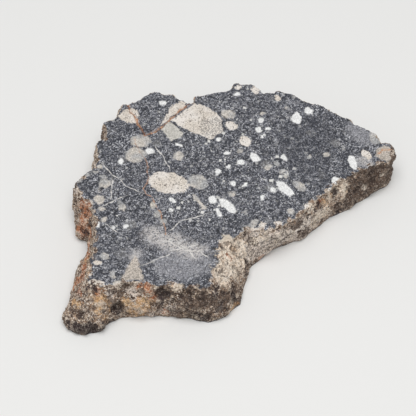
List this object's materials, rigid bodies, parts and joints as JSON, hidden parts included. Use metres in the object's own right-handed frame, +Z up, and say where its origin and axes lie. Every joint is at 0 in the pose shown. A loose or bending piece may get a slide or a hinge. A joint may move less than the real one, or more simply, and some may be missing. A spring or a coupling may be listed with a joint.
{
  "type": "lunar meteorite slice",
  "caption": "Flat sawn slice of dark lunar breccia with pale stone fragments and a rough weathered broken edge, lying on its lower sawn face.",
  "frame": {"origin": "on the lower sawn face, under the middle of the slice's box", "axes": "+X along the longest way across, from the spur to the knob; +Z up through the thickness, from one sawn face to the other; +Y towards the back edge"},
  "size_m": [0.045, 0.0308, 0.0052],
  "materials": {
    "breccia": "matte"
  },
  "bodies": {
    "root": {"meteorite_slice": "breccia"}
  },
  "joints": []
}
